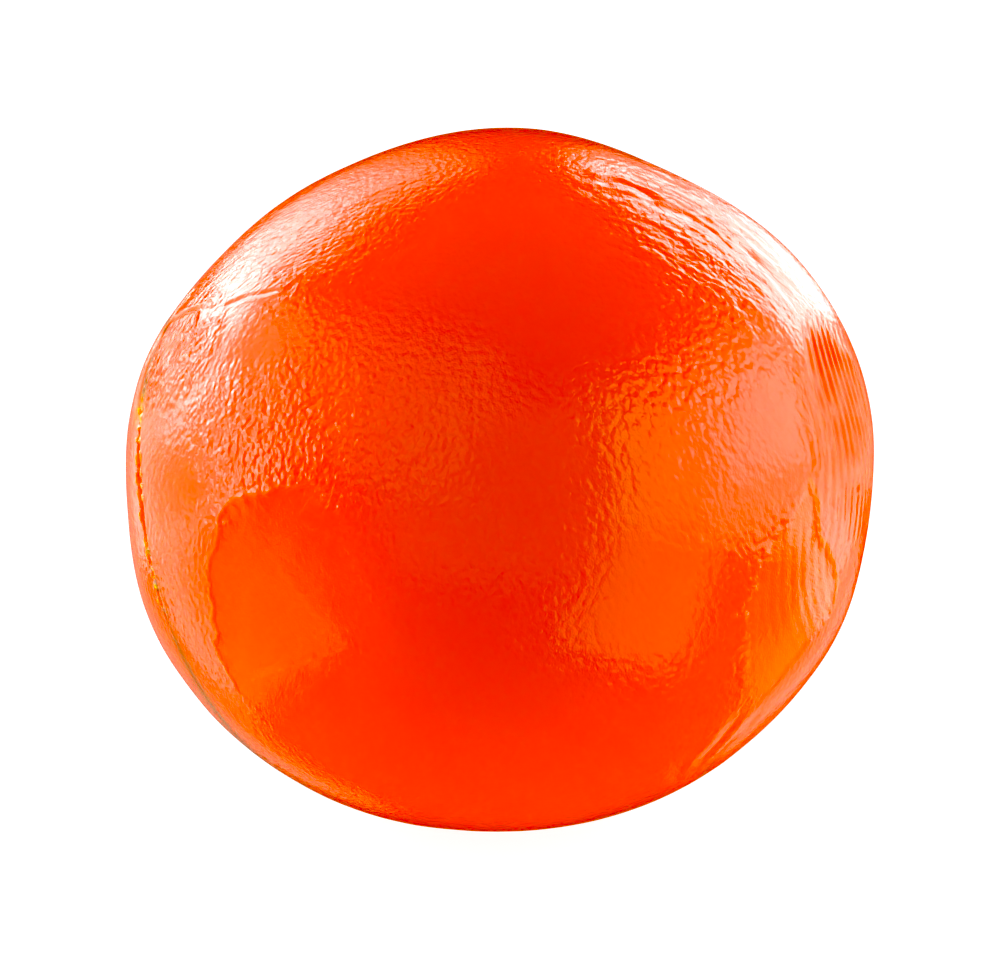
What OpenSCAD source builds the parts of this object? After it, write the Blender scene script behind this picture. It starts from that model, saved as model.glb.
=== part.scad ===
// A small ball of putty, rolled and pressed in the hands, resting on a flat surface.
// Units are millimetres, +Z is up, +X is the wide way and -Y is the front.
// The origin is the middle of the underside. The ball is one lump with a flap folded
// over onto its back left: the two pieces meet face to face at the fold.

/* [Ball] */
// Length of the ball's long axis, before it is pressed
long_axis = 28.4; // [20:0.1:44]
// Length across the long axis, before it is pressed
short_axis = 26.5; // [19:0.1:42]
// Length from front to back, before it is pressed
depth_axis = 27.2; // [19:0.1:43]
// How far the long axis tips up on the +X side, in degrees
tip_angle = 6; // [0:1:15]
// How far the ball's own upright axis leans back, in degrees
lean_angle = 15; // [0:1:30]
// How sharply the pressed flats turn into the round shape: higher is sharper
press_sharpness = 36; // [20:2:60]

/* [Foot] */
// Height that the ball's own weight pressed off its underside
foot_press = 0.4; // [0.25:0.05:0.5]

/* [Fold] */
// Direction that the folded flap faces, turned left from the front, in degrees
flap_turn = 123; // [115:1:140]
// How far above level the folded flap faces, in degrees
flap_rise = -8; // [-10:1:10]
// Distance from the middle of the ball to the fold, as a share of half its width
flap_share = 0.56; // [0.5:0.01:0.75]

/* [Hidden] */

// Facets of the pressed surface
turns = 72;
rings = 36;

// The ball's own axes: right, up and front
right_axis = [1, 0, 0];
up_axis = [0, sin(lean_angle), cos(lean_angle)];
front_axis = [0, -cos(lean_angle), sin(lean_angle)];
long_dir = cos(tip_angle) * right_axis + sin(tip_angle) * up_axis;
short_dir = cos(tip_angle) * up_axis - sin(tip_angle) * right_axis;

// Flats that palms and fingers pressed, each as its clock angle round the front axis
// (0 is right, 90 is up), its angle forward of the rim, and its distance from the
// middle as a share of half the width
PRESSES = [
    [134, 0, 0.945],   // palm, upper left of the rim
    [114, 0, 0.93],    // palm, top left of the rim
    [64, 0, 0.937],    // palm, top right of the rim
    [184, 0, 1],       // left side
    [-8, 0, 1],        // right side
    [-50, 0, 1],       // lower right of the rim
    [268, 0, 0.95],    // underside
    [211, 53, 0.945],  // smooth facet, lower left of the front
    [-20, 35, 0.965],  // fingertip, right of the front
    [55, -50, 0.93],   // palm, upper right of the back
    [200, -60, 0.95],  // palm, left of the back
];

half_width = long_axis / 2;
flap_dir = cos(flap_rise) * (cos(flap_turn) * front_axis - sin(flap_turn) * right_axis)
    + sin(flap_rise) * up_axis;
clear_size = 4 * half_width;

function press_dir(p) =
    cos(p[1]) * (cos(p[0]) * right_axis + sin(p[0]) * up_axis) + sin(p[1]) * front_axis;

PRESS_DIRS = [for (p = PRESSES) press_dir(p)];

// Power sum over the flats: each flat pulls the surface in only near its own direction
function press_sum(u, i = 0) =
    i == len(PRESSES) ? 0 :
    pow(max(0, u * PRESS_DIRS[i]) / (PRESSES[i][2] * half_width), press_sharpness)
    + press_sum(u, i + 1);

function egg_gauge(u) = norm([
    u * long_dir / (long_axis / 2),
    u * short_dir / (short_axis / 2),
    u * front_axis / (depth_axis / 2)
]);

// Distance from the middle to the surface, in the unit direction u
function reach(u) =
    pow(pow(egg_gauge(u), press_sharpness) + press_sum(u), -1 / press_sharpness);

function unit_dir(around, rise) = [cos(rise) * cos(around), cos(rise) * sin(around), sin(rise)];

function surface_point(around, rise) =
    let (u = unit_dir(around, rise)) reach(u) * u;

// The surface as rings of points from the lowest to the highest, with a point at each end
RAW_POINTS = concat(
    [surface_point(0, -90)],
    [for (r = [1:rings - 1]) for (t = [0:turns - 1])
        surface_point(t * 360 / turns, r * 180 / rings - 90)],
    [surface_point(0, 90)]
);

function low(v) = [for (k = [0:2]) min([for (p = v) p[k]])];
function high(v) = [for (k = [0:2]) max([for (p = v) p[k]])];

// Stands the ball on its pressed underside, with the origin in the middle below it
middle = (low(RAW_POINTS) + high(RAW_POINTS)) / 2;
stand = [-middle[0], -middle[1], -low(RAW_POINTS)[2] - foot_press];
POINTS = [for (p = RAW_POINTS) p + stand];

function ring_point(r, t) = 1 + (r - 1) * turns + t % turns;
top_point = len(POINTS) - 1;

FACES = concat(
    [for (t = [0:turns - 1]) [0, ring_point(1, t), ring_point(1, t + 1)]],
    [for (r = [1:rings - 2]) for (t = [0:turns - 1]) each [
        [ring_point(r, t), ring_point(r + 1, t), ring_point(r + 1, t + 1)],
        [ring_point(r, t), ring_point(r + 1, t + 1), ring_point(r, t + 1)]
    ]],
    [for (t = [0:turns - 1]) [top_point, ring_point(rings - 1, t + 1), ring_point(rings - 1, t)]]
);

// The whole ball, cut flat where it rests
module pressed_ball() {
    intersection() {
        polyhedron(points = POINTS, faces = FACES);
        translate([-clear_size / 2, -clear_size / 2, 0])
            cube(clear_size);
    }
}

// Everything on the flap's side of the fold
module fold_side() {
    translate(stand)
        rotate([0, acos(flap_dir[2]), atan2(flap_dir[1], flap_dir[0])])
            translate([-clear_size / 2, -clear_size / 2, flap_share * half_width])
                cube(clear_size);
}

// The main body of the putty, which carries the foot
module main_lump() {
    color([0.94, 0.2, 0.02])
        difference() {
            pressed_ball();
            fold_side();
        }
}

// The flap that was folded over and pressed onto the back left
module folded_flap() {
    color([1, 0.45, 0.1])
        intersection() {
            pressed_ball();
            fold_side();
        }
}

main_lump();
folded_flap();
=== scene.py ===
import math

import bmesh
import bpy
import numpy as np
from mathutils import Matrix, Vector, noise


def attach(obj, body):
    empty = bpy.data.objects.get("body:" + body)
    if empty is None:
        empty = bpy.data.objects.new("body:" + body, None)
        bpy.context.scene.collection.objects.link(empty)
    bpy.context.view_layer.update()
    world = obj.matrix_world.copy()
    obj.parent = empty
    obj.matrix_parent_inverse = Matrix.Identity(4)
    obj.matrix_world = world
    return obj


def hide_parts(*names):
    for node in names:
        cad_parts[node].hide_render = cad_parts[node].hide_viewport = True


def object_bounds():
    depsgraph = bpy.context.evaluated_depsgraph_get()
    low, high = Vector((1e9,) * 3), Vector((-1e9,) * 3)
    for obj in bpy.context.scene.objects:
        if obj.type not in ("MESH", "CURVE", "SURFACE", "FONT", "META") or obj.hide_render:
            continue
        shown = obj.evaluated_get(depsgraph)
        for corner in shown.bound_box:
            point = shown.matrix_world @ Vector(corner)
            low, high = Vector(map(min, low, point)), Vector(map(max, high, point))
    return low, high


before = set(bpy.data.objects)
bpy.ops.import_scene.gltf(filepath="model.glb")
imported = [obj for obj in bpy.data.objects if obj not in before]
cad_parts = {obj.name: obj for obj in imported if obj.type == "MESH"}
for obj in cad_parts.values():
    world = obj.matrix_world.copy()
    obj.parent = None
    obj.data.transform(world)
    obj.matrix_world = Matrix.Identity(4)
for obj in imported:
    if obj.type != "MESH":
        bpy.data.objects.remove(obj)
cad_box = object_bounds()

# ---------------------------------------------------------------------------
# The ball's driving sizes, the same as in the CAD source, in millimetres
# ---------------------------------------------------------------------------
MM = 0.001
LONG_AXIS = 28.4
SHORT_AXIS = 26.5
DEPTH_AXIS = 27.2
TIP_ANGLE = 6
LEAN_ANGLE = 15
PRESS_SHARPNESS = 36
FLAP_TURN = -123
FLAP_RISE = -8
FLAP_SHARE = 0.56
HALF_WIDTH = LONG_AXIS / 2

# Flats pressed by palms and fingers: clock angle round the front axis, angle forward
# of the rim, and distance from the middle as a share of half the width
PRESSES = [
    (134, 0, 0.945),
    (114, 0, 0.93),
    (64, 0, 0.937),
    (184, 0, 1),
    (-8, 0, 1),
    (-50, 0, 1),
    (268, 0, 0.95),
    (211, 53, 0.945),
    (-20, 35, 0.965),
    (55, -50, 0.93),
    (200, -60, 0.95),
]


def unit(v):
    return v / np.linalg.norm(v, axis=-1, keepdims=True)


def cosd(degrees):
    return math.cos(math.radians(degrees))


def sind(degrees):
    return math.sin(math.radians(degrees))


# The ball's own axes: right, up and front
RIGHT = np.array([1.0, 0.0, 0.0])
UP = np.array([0.0, sind(LEAN_ANGLE), cosd(LEAN_ANGLE)])
FRONT = np.array([0.0, -cosd(LEAN_ANGLE), sind(LEAN_ANGLE)])


def toward(turn, rise):
    """The direction turned right of the front and raised above level by these angles."""
    return cosd(rise) * (sind(turn) * RIGHT + cosd(turn) * FRONT) + sind(rise) * UP


def clock_dir(clock, front):
    """The direction at a clock angle round the front axis, so far forward of the rim."""
    return cosd(front) * (cosd(clock) * RIGHT + sind(clock) * UP) + sind(front) * FRONT


LONG_DIR = clock_dir(TIP_ANGLE, 0)
SHORT_DIR = clock_dir(TIP_ANGLE + 90, 0)
PRESS_DIRS = [clock_dir(clock, front) for clock, front, share in PRESSES]
FLAP_DIR = toward(FLAP_TURN, FLAP_RISE)


def reach(u):
    """Distance in mm from the middle to the plain pressed surface, in directions u."""
    egg = (
        (u @ LONG_DIR / (LONG_AXIS / 2)) ** 2
        + (u @ SHORT_DIR / (SHORT_AXIS / 2)) ** 2
        + (u @ FRONT / (DEPTH_AXIS / 2)) ** 2
    )
    gauge = egg ** (PRESS_SHARPNESS / 2)
    for (clock, front, share), n in zip(PRESSES, PRESS_DIRS):
        gauge = gauge + (np.maximum(0, u @ n) / (share * HALF_WIDTH)) ** PRESS_SHARPNESS
    return gauge ** (-1 / PRESS_SHARPNESS)


# ---------------------------------------------------------------------------
# A sphere of square faces, finer towards the front
# ---------------------------------------------------------------------------
CUBE_CUTS = 110
FRONT_ZOOM = 0.3


def sphere_grid(cuts):
    """Unit directions and quads of a cube blown up into a sphere."""
    steps = np.arange(cuts + 1)
    a, b = (g.ravel() for g in np.meshgrid(steps, steps, indexing="ij"))
    sides = []
    for axis in range(3):
        for end in (0, cuts):
            side = np.zeros((len(a), 3), int)
            side[:, axis] = end
            side[:, (axis + 1) % 3] = a if end else b
            side[:, (axis + 2) % 3] = b if end else a
            sides.append(side)
    lattice, index = np.unique(np.vstack(sides), axis=0, return_inverse=True)
    index = index.reshape(6, cuts + 1, cuts + 1)
    quads = np.stack(
        [index[:, :-1, :-1], index[:, 1:, :-1], index[:, 1:, 1:], index[:, :-1, 1:]], -1
    )
    corner = 2 * lattice / cuts - 1
    return unit(np.tan(corner * math.pi / 4)), quads.reshape(-1, 4)


def zoomed(u):
    """Moves directions towards the front, so that the mesh is finer there."""
    moved = (1 - FRONT_ZOOM**2) * (u + FRONT_ZOOM * FRONT)
    scale = 1 + 2 * FRONT_ZOOM * (u @ FRONT) + FRONT_ZOOM**2
    return unit(moved / scale[:, None] + FRONT_ZOOM * FRONT)


# ---------------------------------------------------------------------------
# Paths and patches on the surface, in degrees of turn and rise
# ---------------------------------------------------------------------------
MEAN_RADIUS = 13.7


def smooth_path(points, steps=10):
    """A Catmull-Rom curve through (turn, rise) points, as points on a sphere in mm."""
    p = np.array([points[0], *points, points[-1]], float)
    curve = []
    for k in range(1, len(p) - 2):
        for t in np.linspace(0, 1, steps, endpoint=False):
            a = 2 * p[k]
            b = p[k + 1] - p[k - 1]
            c = 2 * p[k - 1] - 5 * p[k] + 4 * p[k + 1] - p[k + 2]
            d = 3 * p[k] - p[k - 1] - 3 * p[k + 1] + p[k + 2]
            curve.append((a + b * t + c * t**2 + d * t**3) / 2)
    curve.append(p[-1])
    return np.array([toward(turn, rise) for turn, rise in curve]) * MEAN_RADIUS


def path_field(u, points):
    """For directions u: mm from a path, + on its left and - on its right, and the share
    of the path passed, from 0 to 1."""
    line = smooth_path(points)
    q = u * MEAN_RADIUS
    nearest = np.argmax(q @ line.T, axis=1)
    best = np.full(len(u), np.inf)
    side = np.ones(len(u))
    passed = np.zeros(len(u))
    for step in (-1, 0):
        k = np.clip(nearest + step, 0, len(line) - 2)
        start, run = line[k], line[k + 1] - line[k]
        share = np.clip(((q - start) * run).sum(1) / (run * run).sum(1), 0, 1)
        away = q - start - share[:, None] * run
        gap = np.linalg.norm(away, axis=1)
        closer = gap < best
        best = np.where(closer, gap, best)
        left = (np.cross(run, away) * q).sum(1) >= 0
        side = np.where(closer, np.where(left, 1.0, -1.0), side)
        passed = np.where(closer, (k + share) / (len(line) - 1), passed)
    return best * side, passed


def smoothstep(low, high, x):
    t = np.clip((x - low) / (high - low), 0, 1)
    return t * t * (3 - 2 * t)


def bell(x, width):
    return np.exp(-((x / width) ** 2))


def turn_rise(u):
    """Turn and rise of directions u, in degrees."""
    return np.degrees(np.arctan2(u @ RIGHT, u @ FRONT)), np.degrees(np.arcsin(u @ UP))


def patch(u, turn, rise, radius, softness):
    """1 inside a round patch of that radius in mm, fading to 0 over softness mm."""
    angle = np.arccos(np.clip(u @ toward(turn, rise), -1, 1))
    return 1 - smoothstep(radius - softness, radius + softness, angle * MEAN_RADIUS)


def strongest(u, patches):
    """The strongest of these patches, each a turn, rise, radius, softness and strength."""
    return np.max([strength * patch(u, *place) for *place, strength in patches], axis=0)


def patch_plane(u, turn, rise):
    """Flat coordinates in mm round a place on the surface: rightwards and upwards."""
    centre = toward(turn, rise)
    right = unit(np.cross(UP, centre))
    up = np.cross(centre, right)
    return u @ right * MEAN_RADIUS, u @ up * MEAN_RADIUS


def streaks(u, turn, rise, angle, size, stretch, seed):
    """Noise round a place, size mm wide and longer by stretch along that angle."""
    x, y = patch_plane(u, turn, rise)
    along = x * cosd(angle) + y * sind(angle)
    across = y * cosd(angle) - x * sind(angle)
    return noise_at(np.stack([across, along / stretch, 0 * x], 1), size, seed)


def noise_at(points, size, seed=0):
    """Smooth noise from about -1 to 1 whose lumps are size mm across."""
    shift = Vector((17.3 * seed, 5.1 * seed, 9.7 * seed))
    return np.array([noise.noise(Vector(p) + shift) for p in points / size])


# ---------------------------------------------------------------------------
# The finer shape: the fold's edge, wrinkles, facets, dents and finger prints
# ---------------------------------------------------------------------------
# Each line pressed or folded into the skin: its path in degrees of turn and rise, its
# half-width and depth in mm, and how much painted glow it gets, a yellower colour that
# stands in for light shining through the thin putty
CREASES = [
    # The wrinkle round the fold's upper end, in two branches
    ([(-71, 31), (-72.4, 28.1), (-74.5, 25), (-77, 22.5)], 0.1, 0.1, 0.1),
    ([(-60, 27.2), (-63.7, 26.5), (-68.5, 25.8), (-74, 24.4), (-77, 21.5)], 0.1, 0.08, 0.2),
    ([(-73, 26.6), (-76, 22.5), (-77, 19.5), (-76.6, 16), (-75, 12.5), (-71, 8)], 0.42, 0.11, 0.1),
    # Wrinkles beside it
    ([(-54.5, 26.6), (-48.6, 28.4), (-44.7, 29), (-40.5, 29.6)], 0.1, 0.03, 0),
    ([(-60.5, 24.5), (-57.5, 26), (-53, 26.2)], 0.25, 0.03, 0),
    ([(-69.9, 18), (-67, 19.5), (-62.5, 20)], 0.2, 0.03, 0),
    # Soft folds low on the right
    ([(80, -56), (66.5, -50.2), (62.4, -43.2), (60.9, -37)], 0.38, 0.03, 0),
    ([(70, -57), (56.6, -49.6), (55.1, -44), (54.4, -36)], 0.34, 0.03, 0),
    ([(62, -57), (50, -50), (48.5, -43)], 0.4, 0.025, 0),
    # Creases in the shiny upper right
    ([(26.7, 51.4), (30, 52.6), (35.2, 50.7), (38, 47)], 0.3, 0.05, 0),
    ([(35.3, 54.5), (40, 52.5), (47.2, 49.2), (51, 44)], 0.3, 0.05, 0),
    ([(33.3, 47.5), (40, 45.5), (46.4, 41.9), (50, 36)], 0.35, 0.05, 0),
    ([(50.3, 39.9), (56, 34), (60, 28)], 0.3, 0.03, 0),
]

# Patches of drawn-out or scaly skin: turn, rise and radius in mm, the direction of the
# folds in degrees, their width in mm, how many times longer they are, depth and seed
DRAWN_SKIN = [
    (44, 40, 4.6, -48, 0.45, 2.8, 0.03, 11),
    (46, 46, 3.6, -52, 0.28, 2.2, 0.026, 12),
    (-45, 42, 4.6, 48, 0.35, 5, 0.014, 13),
    (-62, 16, 2.4, 20, 0.3, 1.6, 0.03, 14),
]

# Where the material adds cracks and short streaks: turn, rise, radius and softness
CRUMPLED = (50, 43, 3.6, 1.4)
STREAKED = (-53, 43, 3.8, 1.8)

# How pebbled the skin is everywhere, and where it is more so: turn, rise, radius and
# softness in mm, and how much
PEBBLED_LEAST = 0.27
PEBBLED = [
    (-33, 9, 2.4, 1.6, 1.0),
    (-45, 8, 2.2, 1.2, 1.0),
    (-62, 21, 2.1, 1, 2.1),
    (-68, 18, 1.6, 0.9, 3.0),
    (-18, 8, 3.2, 3, 0.8),
    (-38, 27, 3, 3, 0.15),
    (-58, -14, 3.4, 2, 0.4),
    (28, 12, 4.5, 4, 0.6),
    (38, 31, 3.5, 3, 0.6),
    (5, -8, 4, 3.5, 0.4),
    (58, -6, 4, 4, 0.35),
]

# The fold's open edge: from this rise to that one, its half-width and depth in mm, and
# the depth of the thin line where the fold is closed
SEAM_TOP = 10.5
SEAM_END = -22
SEAM_HALF_WIDTH = 0.28
SEAM_DEPTH = 0.3
SEAM_HAIRLINE = 0.012
# Below this rise the edge is broken into stitches
STITCHES_TOP = -8
# Crumbs on its lips, and the knot at its top: turn, rise, radius and softness
CRUMB_SIZE = 0.28
CRUMB_HEIGHT = 0.06
KNOT = (-72.5, 11.2, 0.7, 0.35)

# The lower left facet, inside this edge, and the fingertip dent, between its two edges
FACET_EDGE = [
    (-27, 0.5), (-32.2, -1.2), (-40.5, -1.8), (-44.8, -4.4), (-47.8, -8.9),
    (-49.6, -11.9), (-51.3, -16.5), (-53.5, -24.4), (-54.3, -31.3), (-52, -36.9),
]
DENT_RIGHT = [
    (51.8, 0.6), (53.2, -0.6), (55.6, -3), (57.6, -7.8), (62.4, -10.9), (67, -14.7),
    (69.4, -18.5), (69.4, -21.1), (66.1, -25.1), (62, -31),
]
DENT_LEFT = [
    (52.3, 0.4), (49.4, -2.9), (48.3, -5.5), (45.4, -7.9), (44.4, -11.5),
    (42.6, -15), (42.1, -20), (44.5, -26), (50, -33),
]
FACET_RIM = 0.016
DENT_RIM = 0.018
# Where the dent ends above and below, in degrees of rise
DENT_TOP = -0.5
DENT_END = -33

# Finger prints: the ridges' spacing and height in mm, the upper print's middle and
# patches, and the place that the lower print's ridges run round
PRINT_PERIOD = 0.53
PRINT_HEIGHT = 0.018
UPPER_PRINT = (67, 11)
UPPER_PRINT_PATCHES = [(66, 13, 2.4, 0.8, 2.4), (67, 5, 3, 1.4, 0.6)]
LOWER_PRINT = (75, -3)


def seam_field(u):
    """Mm from the fold plane along the skin, + on the flap's side, and the strength of
    the fold's open edge there, from 0 to 1."""
    plane_gap = u @ FLAP_DIR * reach(u) - FLAP_SHARE * HALF_WIDTH
    along_skin = plane_gap / np.sqrt(np.maximum(1 - (u @ FLAP_DIR) ** 2, 0.1))
    turn, rise = turn_rise(u)
    open_part = smoothstep(SEAM_END - 3, SEAM_END + 5, rise)
    open_part *= 1 - smoothstep(SEAM_TOP, SEAM_TOP + 2.5, rise)
    in_front = smoothstep(-100, -90, turn) * (1 - smoothstep(-40, -30, turn))
    return along_skin, open_part * in_front


def sharp_ridge(phase):
    """A row of broad ridges with narrow valleys between, from about -1 to 1."""
    return np.cos(2 * math.pi * phase) - 0.3 * np.cos(4 * math.pi * phase)


def prints(u):
    """Finger print ridges on the right: how many ridges along and how strong, for the
    upper print and the one round the dent."""
    points = u * MEAN_RADIUS
    x, y = patch_plane(u, *UPPER_PRINT)
    swirl = 0.25 * noise_at(points, 3, 1)
    bend = 0.2 * y - 0.11 * np.maximum(y, 0) ** 2
    upper_phase = (x + bend + swirl) / PRINT_PERIOD
    upper_amount = strongest(u, UPPER_PRINT_PATCHES)
    from_middle = np.arccos(np.clip(u @ toward(*LOWER_PRINT), -1, 1)) * MEAN_RADIUS
    lower_phase = (from_middle + swirl) / PRINT_PERIOD
    ring = smoothstep(1.6, 2.6, from_middle) * (1 - smoothstep(7, 9, from_middle))
    ring *= 1 - smoothstep(-8, -4, turn_rise(u)[1])
    in_dent = smoothstep(0, 0.3, -path_field(u, DENT_RIGHT)[0])
    lower_amount = ring * (0.02 + 0.06 * in_dent)
    patchy = 1 + 0.7 * noise_at(points, 0.9, 17)
    return upper_phase, upper_amount * patchy, lower_phase, lower_amount * patchy


def unevenness(points):
    """The height in mm of what rolling by hand left, broad to fine."""
    return 0.05 * noise_at(points, 5, 2) + 0.016 * noise_at(points, 1.8, 3)


def fold_edge(u, wander):
    """The fold's open edge: a narrow ragged groove, broken into stitches lower down.
    Gives its height, its painted glow and highlights, and its painted shade, where it
    also mirrors less."""
    points = u * MEAN_RADIUS
    turn, rise = turn_rise(u)
    gap, seam = seam_field(u)
    gap = gap + 0.07 * noise_at(points, 0.5, 18) + 0.04 * noise_at(points, 0.22, 19)
    half_width = SEAM_HALF_WIDTH * (0.3 + 0.7 * bell(rise + 1, 7) * seam)
    cusp = np.maximum(0, 1 - np.abs(gap) / half_width) ** 1.5
    stitches = 1 - smoothstep(STITCHES_TOP - 3, STITCHES_TOP, rise)
    broken = 1 - stitches * smoothstep(-0.2, 0.15, noise_at(points, 0.35, 10))
    hairline = SEAM_HAIRLINE * (1 - 0.8 * smoothstep(-95, -80, turn))
    lip = seam * bell(np.abs(gap) - half_width, 0.1)
    crumbs = smoothstep(0.05, 0.3, noise_at(points, CRUMB_SIZE, 20))
    knot = patch(u, *KNOT)
    height = lip * (0.005 + CRUMB_HEIGHT * crumbs)
    height -= cusp * (seam * broken * SEAM_DEPTH * wander + hairline)
    height += 0.05 * knot * noise_at(points, 0.25, 22)
    inner = seam * broken * bell(gap, 0.6 * half_width)
    # Painted light: a yellower glow on the groove's floor and the knot, and painted highlights on
    # the crumbs of the lips
    painted_light = np.max([0.1 * inner, 0.45 * lip * crumbs, 0.4 * knot], axis=0)
    # Painted shade on the groove's floor and the knot
    painted_shade = np.maximum(seam * broken * bell(gap, 0.4 * half_width), 0.8 * knot)
    return height, painted_light, painted_shade


def wrinkles(u, wander):
    """The creases: their height, their painted glow, the painted shade on their floors,
    where they also mirror less, and how near each point is to one."""
    height, painted_light, painted_shade, near = np.zeros((4, len(u)))
    for path, half_width, depth, painted_glow in CREASES:
        away, passed = path_field(u, path)
        ends = smoothstep(0, 0.2, passed) * (1 - smoothstep(0.8, 1, passed))
        line = ends * np.maximum(0, 1 - np.abs(away) / (2 * half_width)) ** 2
        height -= depth * line * wander
        height += 0.35 * depth * ends * bell(np.abs(away) - 2 * half_width, half_width)
        # Painted glow: the crease is made yellower, standing in for light through the thin putty
        painted_light = np.maximum(painted_light, painted_glow * line)
        # Shade is painted on the floor of the deeper ones, and they mirror less there
        floor = ends * (1 - smoothstep(0.5, 1.2, np.abs(away) / half_width))
        painted_shade = np.maximum(painted_shade, min(1, 30 * max(0, depth - 0.05)) * floor)
        near = np.maximum(near, ends * bell(away, 0.7))
    return height, painted_light, painted_shade, near


def lower_left_facet(u):
    """The facet, flat inside, with a thin raised rim outside: its height, the painted
    highlight along its edge, and where it is."""
    points = u * MEAN_RADIUS
    away, passed = path_field(u, FACET_EDGE)
    away = away + 0.16 * noise_at(points, 0.45, 5) + 0.2 * noise_at(points, 1.4, 6)
    ends = smoothstep(0, 0.2, passed) * (1 - smoothstep(0.8, 1, passed))
    inside = np.maximum(away, 0)
    rim = np.exp(np.where(away < 0, away / 0.15, -away / 0.08))
    height = ends * (FACET_RIM * rim - 0.15 * inside * np.exp(-inside / 1.4))
    facet = smoothstep(0, 0.06, passed) * smoothstep(0, 0.15, away)
    facet *= 1 - smoothstep(4, 8, away)
    # A painted highlight: the edge is made yellower
    return height, 0.2 * ends * bell(away, 0.07), facet


def fingertip_dent(u, wander):
    """The dent on the right, with a raised right rim: its height, its painted sheen and
    painted rim highlight, and where it is."""
    points = u * MEAN_RADIUS
    rise = turn_rise(u)[1]
    right, passed = path_field(u, DENT_RIGHT)
    right = -right + 0.1 * noise_at(points, 0.6, 7)
    left = path_field(u, DENT_LEFT)[0]
    left = left + 0.13 * noise_at(points, 0.8, 8) + 0.13 * noise_at(points, 0.3, 16)
    tall = smoothstep(DENT_END - 5, DENT_END + 5, rise)
    tall *= 1 - smoothstep(DENT_TOP - 1, DENT_TOP + 1, rise)
    across = np.clip(left / np.maximum(left + right, 0.01), 0, 1)
    in_dent = smoothstep(-0.05, 0.4, right) * smoothstep(-0.05, 0.5, left) * tall
    inside = np.maximum(left, 0)
    height = -in_dent * (0.01 + 0.021 * inside * np.exp(-inside / 1.2) + 0.008 * across)
    # The left edge is torn rather than pressed
    ragged = bell(left, 0.4) * tall * smoothstep(-0.2, 0.3, right)
    height += 0.03 * ragged * noise_at(points * (1, 1, 1.6), 0.35, 15)
    ends = smoothstep(0.02, 0.1, passed) * (1 - smoothstep(0.5, 0.9, passed))
    height += DENT_RIM * ends * bell(right + 0.12, 0.12) * wander
    # Painted light: a faint yellower sheen inside the dent and a painted highlight on the right
    # rim
    painted_light = np.maximum(0.09 * in_dent, 0.3 * ends * bell(right - 0.02, 0.08))
    return height, painted_light, in_dent


def drawn_skin(u):
    """The height in mm of the drawn-out folds under the two bright reflections, and of
    the scales beside the fold."""
    height = np.zeros(len(u))
    for turn, rise, radius, angle, width, stretch, depth, seed in DRAWN_SKIN:
        region = patch(u, turn, rise, radius, 1.5)
        height += depth * region * streaks(u, turn, rise, angle, width, stretch, seed)
    return height


def skin(u):
    """For directions u: the height in mm of the finer shape above the plain pressed
    surface, and the masks that the material reads."""
    points = u * MEAN_RADIUS
    wander = 1 + 0.5 * noise_at(points, 0.8, 4)
    fold, fold_painted_light, fold_painted_shade = fold_edge(u, wander)
    creased, crease_painted_light, crease_painted_shade, near_crease = wrinkles(u, wander)
    flat, facet_painted_highlight, in_facet = lower_left_facet(u)
    dent, dent_painted_light, in_dent = fingertip_dent(u, wander)
    height = unevenness(points) + fold + creased + flat + dent + drawn_skin(u)

    upper_phase, upper_amount, lower_phase, lower_amount = prints(u)
    height += PRINT_HEIGHT * upper_amount * sharp_ridge(upper_phase)
    height += PRINT_HEIGHT * lower_amount * sharp_ridge(lower_phase)
    printed = np.clip(upper_amount + 8 * lower_amount, 0, 1)

    # Pebbles of the skin, weaker in the facet, the prints and the dent, and by creases
    pebble = np.maximum(PEBBLED_LEAST, strongest(u, PEBBLED))
    pebble *= (1 - 0.75 * in_facet) * (1 - 0.8 * printed) * (1 - 0.6 * in_dent)
    pebble *= 1 - 0.7 * near_crease
    height += 0.005 * pebble * noise_at(points, 0.45, 9)
    masks = {
        "painted_light": np.max([fold_painted_light, crease_painted_light, facet_painted_highlight, dent_painted_light], axis=0),
        "pebble": pebble,
        "lean": smoothstep(0, 30, turn_rise(u)[0]),
        "painted_shade": np.maximum(fold_painted_shade, crease_painted_shade),
        "upper_phase": upper_phase,
        "upper_amount": upper_amount,
        "lower_phase": lower_phase,
        "lower_amount": lower_amount,
        "crumpled": patch(u, *CRUMPLED),
        "drawn": patch(u, *STREAKED),
    }
    return height, masks


# ---------------------------------------------------------------------------
# The two pieces: the main lump and the flap folded over its back
# ---------------------------------------------------------------------------
# Face sizes in mm: plain skin, by the fold's open edge, by the edges of the facet and
# the dent, and in the finger prints; and how far from the edges those reach
PLAIN_DETAIL = 1.0
SEAM_DETAIL = 0.06
EDGE_DETAIL = 0.08
PRINT_DETAIL = 0.1
SEAM_REACH = 0.55
EDGE_REACH = 0.6
# How softly the foot turns into the side, and how far each piece keeps from the fold
FOOT_ROUNDING = 0.08
FOLD_GAP = 0.01
# The rings that close a piece at the fold, as shares of its rim
CAP_RINGS = (0.97, 0.88, 0.7, 0.45, 0.2)

grid_dirs, grid_quads = sphere_grid(CUBE_CUTS)
grid_dirs = zoomed(grid_dirs)
plain = grid_dirs * reach(grid_dirs)[:, None]
cad_low, cad_high = (np.array(corner) / MM for corner in cad_box)
CENTRE = (cad_low + cad_high) / 2 - (plain.min(0) + plain.max(0)) / 2
CENTRE[2] = cad_high[2] - plain.max(0)[2]


def on_skin(bm):
    """The directions of a bmesh's vertices, after moving them onto the plain surface."""
    u = unit(np.array([v.co for v in bm.verts]))
    for v, p in zip(bm.verts, u * reach(u)[:, None]):
        v.co = p
    return u


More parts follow.
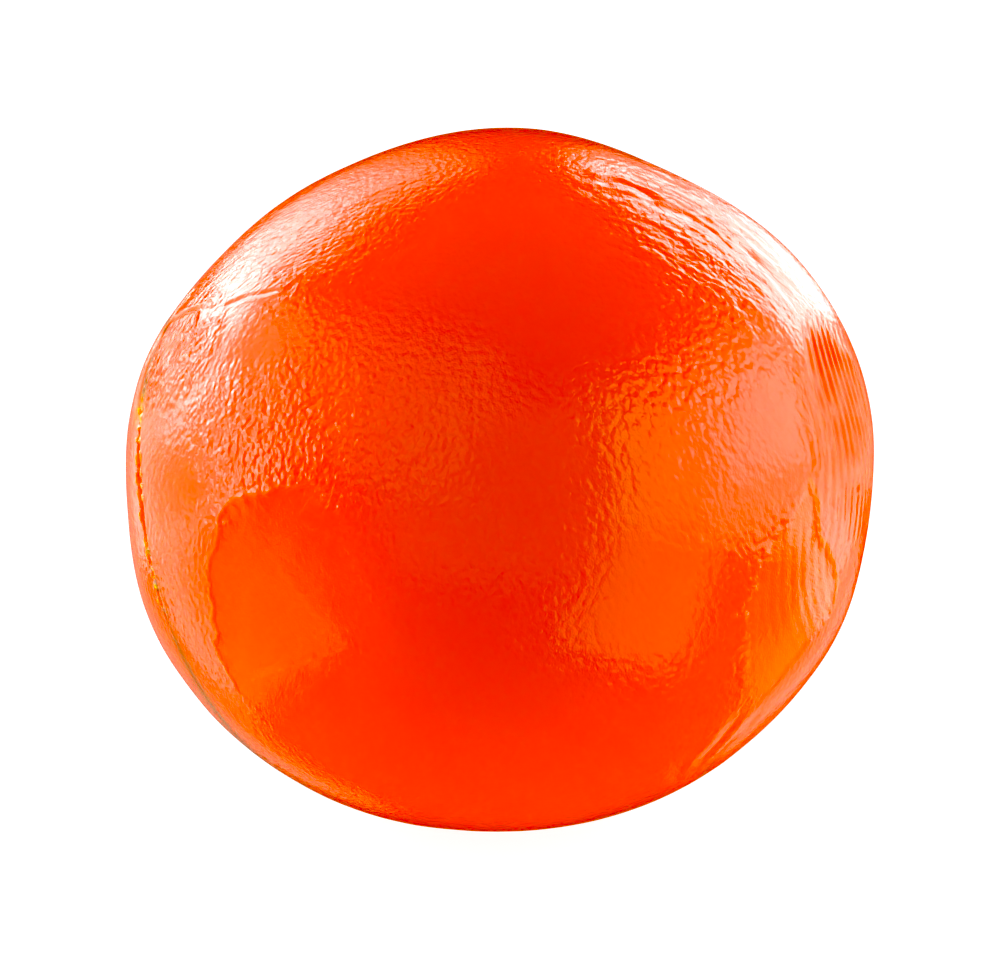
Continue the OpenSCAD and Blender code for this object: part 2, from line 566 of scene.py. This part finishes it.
def wanted_detail(u):
    """The face size in mm that the finer shape needs, in directions u."""
    size = np.full(len(u), PLAIN_DETAIL)
    gap, seam = seam_field(u)
    size = np.where((np.abs(gap) < SEAM_REACH) & (seam > 0.01), SEAM_DETAIL, size)
    for points, half_width, depth, painted_glow in CREASES:
        near = np.abs(path_field(u, points)[0]) < 3 * half_width
        size = np.where(near, np.minimum(size, 0.4 * half_width), size)
    for points in (FACET_EDGE, DENT_RIGHT, DENT_LEFT):
        near = np.abs(path_field(u, points)[0]) < EDGE_REACH
        size = np.where(near, np.minimum(size, EDGE_DETAIL), size)
    for turn, rise, radius, angle, width, stretch, depth, seed in DRAWN_SKIN:
        near = patch(u, turn, rise, radius, 1.5) > 0.2
        size = np.where(near, np.minimum(size, 0.35 * width), size)
    upper_phase, upper_amount, lower_phase, lower_amount = prints(u)
    printed = upper_amount + lower_amount > 0.05
    return np.where(printed, np.minimum(size, PRINT_DETAIL), size)


def refine(bm):
    """Splits the faces that are too big for the finer shape, twice."""
    for _ in range(2):
        faces = list(bm.faces)
        middles = np.array([f.calc_center_median() for f in faces])
        sizes = np.sqrt([f.calc_area() for f in faces])
        too_big = sizes > 1.3 * wanted_detail(unit(middles))
        edges = dict.fromkeys(e for f, big in zip(faces, too_big) if big for e in f.edges)
        bmesh.ops.subdivide_edges(bm, edges=list(edges), cuts=1, use_grid_fill=True)
        on_skin(bm)


def formed(u, height):
    """The finished surface in mm in the frame, in directions u."""
    p = u * (reach(u) + height)[:, None] + CENTRE
    p[:, 2] = 0.5 * (p[:, 2] + np.sqrt(p[:, 2] ** 2 + FOOT_ROUNDING**2))
    return p


def close_fold(bm, side):
    """Closes a piece along the fold with rings that shrink to the fold's middle."""
    loop_edges = [e for e in bm.edges if e.is_boundary]
    for e in loop_edges:
        e.smooth = False
    rim = list(dict.fromkeys(v for e in loop_edges for v in e.verts))
    middle = sum((v.co for v in rim), Vector()) / len(rim)
    inset = Vector(FLAP_DIR) * side * FOLD_GAP
    start = {v: v.co.copy() for v in rim}
    owner = {v: v for v in rim}
    ring_edges = loop_edges
    for share in CAP_RINGS:
        grown = bmesh.ops.extrude_edge_only(bm, edges=ring_edges)["geom"]
        new_verts = dict.fromkeys(g for g in grown if isinstance(g, bmesh.types.BMVert))
        new_edges = [g for g in grown if isinstance(g, bmesh.types.BMEdge)]
        ring_edges = [e for e in new_edges if all(v in new_verts for v in e.verts)]
        before, owner = owner, {}
        for v in new_verts:
            old = next(e.other_vert(v) for e in v.link_edges if e.other_vert(v) in before)
            owner[v] = before[old]
            v.co = middle + (start[before[old]] - middle) * share + inset
    last = list(owner)
    bmesh.ops.pointmerge(bm, verts=last, merge_co=middle + inset)


def make_piece(name, node, side):
    """One piece of the ball: the flap on the fold's side (side 1) or the rest (side -1)."""
    bm = bmesh.new()
    verts = [bm.verts.new(p) for p in plain]
    for quad in grid_quads:
        bm.faces.new([verts[k] for k in quad])
    fold_normal = Vector(FLAP_DIR)
    bmesh.ops.bisect_plane(
        bm,
        geom=[*bm.verts, *bm.edges, *bm.faces],
        dist=1e-4,
        plane_co=fold_normal * FLAP_SHARE * HALF_WIDTH,
        plane_no=fold_normal,
        clear_outer=side < 0,
        clear_inner=side > 0,
    )
    refine(bm)
    bmesh.ops.triangulate(bm, faces=[f for f in bm.faces if len(f.verts) > 4])
    u = on_skin(bm)
    height, masks = skin(u)
    layers = {mask: bm.verts.layers.float.new(mask) for mask in masks}
    for v, p in zip(bm.verts, formed(u, height)):
        v.co = p
    for mask, layer in layers.items():
        for v, value in zip(bm.verts, masks[mask]):
            v[layer] = value
    close_fold(bm, side)
    bmesh.ops.recalc_face_normals(bm, faces=bm.faces)
    bmesh.ops.scale(bm, vec=(MM, MM, MM), verts=bm.verts)
    for f in bm.faces:
        f.smooth = True
    mesh = bpy.data.meshes.new(name)
    bm.to_mesh(mesh)
    bm.free()
    obj = bpy.data.objects.new(name, mesh)
    bpy.context.scene.collection.objects.link(obj)
    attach(obj, "root")
    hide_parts(node)
    return obj


# ---------------------------------------------------------------------------
# The putty
# ---------------------------------------------------------------------------
PUTTY = (1.0, 0.066, 0.003)
# The yellower colour painted as glow where light would shine through thin putty, and as painted
# highlights on rims and crumbs
PAINTED_GLOW_COLOUR = (1.0, 0.3, 0.006)
# How far red, green and blue light travel in it, in mm
LIGHT_PATHS = (4.5, 0.6, 0.2)
PUTTY_IOR = 1.45
# Roughness where it is smoothest, and how much smears add
SMOOTHEST = 0.06
SMEARED = 0.1
# The bump's height in mm, and the share of it that each kind of unevenness has
BUMP_HEIGHT = 0.08
DOME_SHARE = 0.5
FINE_SHARE = 0.08
PRINT_SHARE = 0.18
STREAK_SHARE = 0.35
CRACK_SHARE = 0.25
# How much the colour is darkened as painted shade inside folds and cracks, and the mirroring lost
# there
PAINTED_SHADE_SHARE = 0.35
MIRROR = 0.5
MIRROR_LOST = 0.47


def node(tree, kind, inputs=None, **settings):
    """A new shader node with these settings and input values, or links."""
    n = tree.nodes.new(kind)
    for key, value in settings.items():
        setattr(n, key, value)
    for key, value in (inputs or {}).items():
        if isinstance(value, bpy.types.NodeSocket):
            tree.links.new(value, n.inputs[key])
        else:
            n.inputs[key].default_value = value
    return n


def maths(tree, operation, a, b=0.0, c=0.0):
    return node(tree, "ShaderNodeMath", {0: a, 1: b, 2: c}, operation=operation).outputs[0]


def turned_coords(tree, turned, size, stretch):
    """Coordinates in steps of size mm, longer upwards by stretch, turned round the front."""
    coords = node(tree, "ShaderNodeTexCoord").outputs["Object"]
    return node(
        tree,
        "ShaderNodeMapping",
        {
            "Vector": coords,
            "Rotation": (math.radians(LEAN_ANGLE), math.radians(turned), 0),
            "Scale": (size * MM, size * MM, size * stretch * MM),
        },
        vector_type="TEXTURE",
    ).outputs[0]


def soft_noise(tree, turned, size, stretch):
    """Smooth noise, size mm across and longer by stretch, turned round the front axis."""
    coords = turned_coords(tree, turned, size, stretch)
    settings = {"Vector": coords, "Scale": 1.0, "Detail": 0.6, "Roughness": 0.4}
    return node(tree, "ShaderNodeTexNoise", settings).outputs[0]


def domes(tree, turned, size, stretch):
    """Rounded pebbles about size mm apart, 1 on top and lower in the valleys."""
    coords = turned_coords(tree, turned, size, stretch)
    away = node(tree, "ShaderNodeTexVoronoi", {"Vector": coords, "Scale": 1.0}).outputs[0]
    return maths(tree, "MULTIPLY_ADD", away, maths(tree, "MULTIPLY", away, -1.0), 1.0)


def cracks(tree, turned, size, stretch, width):
    """Thin wandering valleys, 1 in the middle of each and 0 away from them."""
    noise_value = soft_noise(tree, turned, size, stretch)
    away = maths(tree, "ABSOLUTE", maths(tree, "SUBTRACT", noise_value, 0.5))
    return node(tree, "ShaderNodeMapRange", {"Value": away, 2: width, 3: 1, 4: 0}).outputs[0]


def putty_material():
    mat = bpy.data.materials.new("putty")
    mat.use_nodes = True
    tree = mat.node_tree
    tree.nodes.clear()

    def mask(name):
        return node(tree, "ShaderNodeAttribute", attribute_name=name).outputs["Fac"]

    upright = soft_noise(tree, -5, 0.19, 1.3)
    leaning = soft_noise(tree, -25, 0.2, 1.5)
    pebbles = node(
        tree, "ShaderNodeMix", {0: mask("lean"), 2: upright, 3: leaning}, data_type="FLOAT"
    ).outputs[0]
    dome = domes(tree, -12, 0.31, 1.35)
    pebbles = maths(tree, "MULTIPLY_ADD", dome, DOME_SHARE, pebbles)
    height = maths(tree, "MULTIPLY", pebbles, mask("pebble"))
    fine = soft_noise(tree, 10, 0.07, 1.3)
    height = maths(tree, "MULTIPLY_ADD", fine, FINE_SHARE, height)
    # The finger prints' ridges, sharper than the mesh shows them
    for name in ("upper", "lower"):
        ridge = maths(tree, "COSINE", maths(tree, "MULTIPLY", mask(name + "_phase"), 2 * math.pi))
        ridge = maths(tree, "MULTIPLY", ridge, mask(name + "_amount"))
        height = maths(tree, "MULTIPLY_ADD", ridge, PRINT_SHARE, height)
    # Short drawn-out streaks on the upper left, cracks in the crumpled upper right
    streak = maths(tree, "MULTIPLY", soft_noise(tree, 42, 0.11, 4.5), mask("drawn"))
    height = maths(tree, "MULTIPLY_ADD", streak, STREAK_SHARE, height)
    crack = maths(tree, "MULTIPLY", cracks(tree, -42, 0.34, 3.6, 0.028), mask("crumpled"))
    crack = maths(tree, "MULTIPLY", crack, soft_noise(tree, -42, 0.5, 1.5))
    height = maths(tree, "MULTIPLY_ADD", crack, -CRACK_SHARE, height)
    bump = node(
        tree, "ShaderNodeBump", {"Height": height, "Strength": 1.0, "Distance": BUMP_HEIGHT * MM}
    ).outputs[0]

    cloud = soft_noise(tree, 0, 5, 1)
    # Painted light: the yellower glow colour is mixed in by its mask
    base = node(
        tree,
        "ShaderNodeMix",
        {0: mask("painted_light"), 6: (*PUTTY, 1), 7: (*PAINTED_GLOW_COLOUR, 1)},
        data_type="RGBA",
    ).outputs[2]
    # A little unevenness in how much light the putty gives back
    tone = maths(tree, "MULTIPLY_ADD", cloud, 0.1, 0.95)
    # Painted shade: inside folds and cracks the colour is darkened, and the putty mirrors less
    # there
    dark = maths(tree, "MAXIMUM", mask("painted_shade"), crack)
    tone = maths(tree, "MULTIPLY", tone, maths(tree, "MULTIPLY_ADD", dark, -PAINTED_SHADE_SHARE, 1.0))
    base = node(tree, "ShaderNodeVectorMath", {0: base, 1: tone}, operation="MULTIPLY")
    smear = soft_noise(tree, 20, 1.2, 2)
    roughness = maths(tree, "MULTIPLY_ADD", smear, SMEARED, SMOOTHEST)
    mirror = maths(tree, "MULTIPLY_ADD", dark, -MIRROR_LOST, MIRROR)
    shader = node(
        tree,
        "ShaderNodeBsdfPrincipled",
        {
            "Base Color": base.outputs[0],
            "Roughness": roughness,
            "IOR": PUTTY_IOR,
            "Specular IOR Level": mirror,
            "Normal": bump,
            "Subsurface Weight": 1.0,
            "Subsurface Radius": LIGHT_PATHS,
            "Subsurface Scale": MM,
        },
    )
    output = node(tree, "ShaderNodeOutputMaterial")
    tree.links.new(shader.outputs[0], output.inputs[0])
    return mat


main_lump = make_piece("main_lump_skin", "main_lump", -1)
folded_flap = make_piece("folded_flap_skin", "folded_flap", 1)
putty = putty_material()
for piece in (main_lump, folded_flap):
    piece.data.materials.append(putty)


# ---------------------------------------------------------------------------
# Studio: floor, bright background, lights and camera
# ---------------------------------------------------------------------------
PANEL_DISTANCE = 0.6
FLOOR_RADIUS = 1.5
FLOOR_GREY = 0.25
FLOOR_GLOW = 0.93
# The background's glow on the putty behind it and in front of it, the shares of the way
# to the front where the one turns into the other, and how the glow changes with height
GLOW_BEHIND = 2.9
GLOW_IN_FRONT = 0.34
GLOW_TURNS = (-0.1, 0.85)
GLOW_LEVEL = 1.12
GLOW_TILT = -0.06
GLOW_BEND = -0.7
# The red, green and blue that are shown as black
BLACKEST = (0, 0.036, 0.11)


def pale_floor():
    mesh = bpy.data.meshes.new("floor")
    bm = bmesh.new()
    bmesh.ops.create_circle(bm, cap_ends=True, radius=FLOOR_RADIUS, segments=64)
    bm.to_mesh(mesh)
    bm.free()
    floor = bpy.data.objects.new("floor", mesh)
    bpy.context.scene.collection.objects.link(floor)
    mat = bpy.data.materials.new("floor_paper")
    mat.use_nodes = True
    tree = mat.node_tree
    tree.nodes.clear()
    shader = node(
        tree,
        "ShaderNodeBsdfPrincipled",
        {
            "Base Color": (FLOOR_GREY, FLOOR_GREY, FLOOR_GREY, 1),
            "Roughness": 1.0,
            "Specular IOR Level": 0.0,
            "Emission Color": (1, 1, 1, 1),
            "Emission Strength": FLOOR_GLOW,
        },
    )
    output = node(tree, "ShaderNodeOutputMaterial")
    tree.links.new(shader.outputs[0], output.inputs[0])
    mesh.materials.append(mat)
    # The putty neither mirrors the floor nor is lit by it
    floor.visible_glossy = False
    floor.visible_diffuse = False
    floor.visible_shadow = False


def studio_world():
    """A white background; it lights the putty softly, more from behind, and the putty
    doesn't mirror it."""
    world = bpy.data.worlds.new("studio")
    bpy.context.scene.world = world
    world.use_nodes = True
    world.cycles_visibility.glossy = False
    tree = world.node_tree
    tree.nodes.clear()
    direction = node(tree, "ShaderNodeTexCoord").outputs["Generated"]
    ahead = node(
        tree,
        "ShaderNodeVectorMath",
        {0: direction, 1: tuple(FRONT)},
        operation="DOT_PRODUCT",
    ).outputs["Value"]
    upward = node(
        tree,
        "ShaderNodeVectorMath",
        {0: direction, 1: tuple(UP)},
        operation="DOT_PRODUCT",
    ).outputs["Value"]
    strength = node(
        tree,
        "ShaderNodeMapRange",
        {
            "Value": ahead,
            1: GLOW_TURNS[0],
            2: GLOW_TURNS[1],
            3: GLOW_BEHIND,
            4: GLOW_IN_FRONT,
        },
    ).outputs[0]
    tilt = maths(tree, "MULTIPLY_ADD", upward, GLOW_BEND, GLOW_TILT)
    level = maths(tree, "MULTIPLY_ADD", upward, tilt, GLOW_LEVEL)
    strength = maths(tree, "MULTIPLY", strength, level)
    rays = node(tree, "ShaderNodeLightPath")
    glow = node(tree, "ShaderNodeBackground", {"Color": (1, 1, 1, 1), "Strength": strength})
    white = node(tree, "ShaderNodeBackground", {"Color": (1, 1, 1, 1), "Strength": 1.0})
    mix = node(
        tree,
        "ShaderNodeMixShader",
        {0: rays.outputs["Is Camera Ray"], 1: glow.outputs[0], 2: white.outputs[0]},
    )
    output = node(tree, "ShaderNodeOutputWorld")
    tree.links.new(mix.outputs[0], output.inputs[0])


def panel(name, turn, rise, wide, tall, radiance, roll=0):
    """A soft light panel seen from the ball at turn and rise, wide by tall degrees."""
    back = Vector(toward(turn, rise))
    data = bpy.data.lights.new(name, "AREA")
    data.shape = "RECTANGLE"
    data.size = 2 * PANEL_DISTANCE * math.tan(math.radians(wide / 2))
    data.size_y = 2 * PANEL_DISTANCE * math.tan(math.radians(tall / 2))
    data.energy = radiance * math.pi * data.size * data.size_y
    light = bpy.data.objects.new(name, data)
    bpy.context.scene.collection.objects.link(light)
    side = Vector(UP).cross(back).normalized()
    top = back.cross(side)
    basis = Matrix((side, top, back)).transposed()
    basis = basis @ Matrix.Rotation(math.radians(roll), 3, "Z")
    middle = Vector(CENTRE) * MM
    light.matrix_world = Matrix.Translation(middle + back * PANEL_DISTANCE) @ basis.to_4x4()
    light.visible_camera = False
    return light


# Each light: name, the turn and rise where it stands, its width and height in degrees
# seen from the ball, radiance and, if it is turned, roll. These light the body of the
# putty and don't show as reflections
BODY_LIGHTS = [
    ("left_panel", -96, 19, 70, 46, 1.0),
    ("left_panel_middle", -93, 15, 48, 34, 1.0),
    ("right_panel", 83, 15, 66, 44, 0.55, -15),
    ("right_panel_middle", 91, 14, 46, 34, 0.7),
    ("low_left_panel", -122, -13, 56, 46, 1.2, 8),
    ("low_right_panel", 118, -13, 48, 44, 1.4, -12),
    ("behind_left_panel", -157, 0, 36, 60, 0.35),
    ("behind_right_panel", 157, 0, 36, 60, 0.3),
    ("high_right_panel", 141, 13, 40, 34, 0.5),
]
# These show as reflections on the skin and don't light the body
REFLECTIONS = [
    ("left_softbox", -133, 34, 22, 38, 4.8),
    ("left_softbox_halo", -136, 43, 34, 42, 1.9),
    ("left_softbox_foot", -117, 25, 22, 34, 4.3, 30),
    ("left_wash", -92, 30, 56, 28, 2.6),
    ("left_low_wash", -92, 1, 56, 30, 1.8),
    ("left_window", -81, 2, 12, 28, 6.9, 12),
    ("low_left_wash", -106, -25, 58, 34, 1.1),
    ("low_left_wash_middle", -112, -22, 40, 22, 0.9),
    ("left_side_wash", -134, 5, 26, 26, 2.0),
    ("behind_left_wash", -155, -10, 26, 50, 0.5),
    ("behind_left_high_wash", -160, 42, 20, 36, 0.7),
    ("front_left_wash", -33, 22, 48, 48, 0.75, -12),
    ("right_softbox", 137, 40, 30, 38, 4.6, -10),
    ("right_softbox_core", 124, 33, 15, 32, 3.6, -10),
    ("right_softbox_crest", 151, 45, 18, 16, 2.2),
    ("right_softbox_foot", 155, 20, 20, 14, 3.3, -20),
    ("right_front_wash", 54, 6, 44, 44, 2.7),
    ("right_window", 89, 13, 34, 31, 4.7),
    ("right_window_foot", 94, -10, 42, 14, 2.8),
    ("right_high_wash", 88, 34, 44, 12, 1.6),
    ("right_side_wash", 124, 0, 22, 38, 1.9),
    ("low_right_wash", 137, -20, 38, 28, 0.8),
    ("behind_right_wash", 142, 9, 18, 22, 1.1),
    ("behind_right_middle_wash", 158, 6, 14, 18, 0.35),
    ("behind_right_high_wash", 164, 34, 12, 30, 0.8),
    ("behind_right_low_wash", 158, -16, 14, 20, 0.2),
    ("front_low_right_wash", 56, -36, 42, 38, 1.6),
    ("front_wash", 0, -4, 80, 60, 0.38),
    ("background", 180, 0, 22, 22, 0.35),
]

pale_floor()
studio_world()
for settings in BODY_LIGHTS:
    panel(*settings).visible_glossy = False
for settings in REFLECTIONS:
    panel(*settings).visible_diffuse = False

# In mm; the frame's width is measured at the ball
CAMERA_DISTANCE = 150
FRAME_WIDTH = 37.57
SENSOR_WIDTH = 36


def studio_camera():
    """The camera in front, aimed at the middle of the ball's outline."""
    depth = CAMERA_DISTANCE - plain @ FRONT
    across = plain @ RIGHT / depth
    upward = plain @ UP / depth
    aim_right = (across.min() + across.max()) / 2 * CAMERA_DISTANCE
    aim_up = (upward.min() + upward.max()) / 2 * CAMERA_DISTANCE
    data = bpy.data.cameras.new("camera")
    data.sensor_width = SENSOR_WIDTH
    data.lens = SENSOR_WIDTH * CAMERA_DISTANCE / FRAME_WIDTH
    data.clip_start = 0.005
    data.clip_end = 10
    camera = bpy.data.objects.new("camera", data)
    bpy.context.scene.collection.objects.link(camera)
    place = CENTRE + aim_right * RIGHT + aim_up * UP + CAMERA_DISTANCE * FRONT
    basis = Matrix((Vector(RIGHT), Vector(UP), Vector(FRONT))).transposed()
    camera.matrix_world = Matrix.Translation(Vector(place) * MM) @ basis.to_4x4()
    bpy.context.scene.camera = camera


studio_camera()

scene = bpy.context.scene
scene.view_settings.view_transform = "Standard"
scene.view_settings.use_curve_mapping = True
scene.view_settings.curve_mapping.black_level = BLACKEST
scene.view_settings.curve_mapping.update()
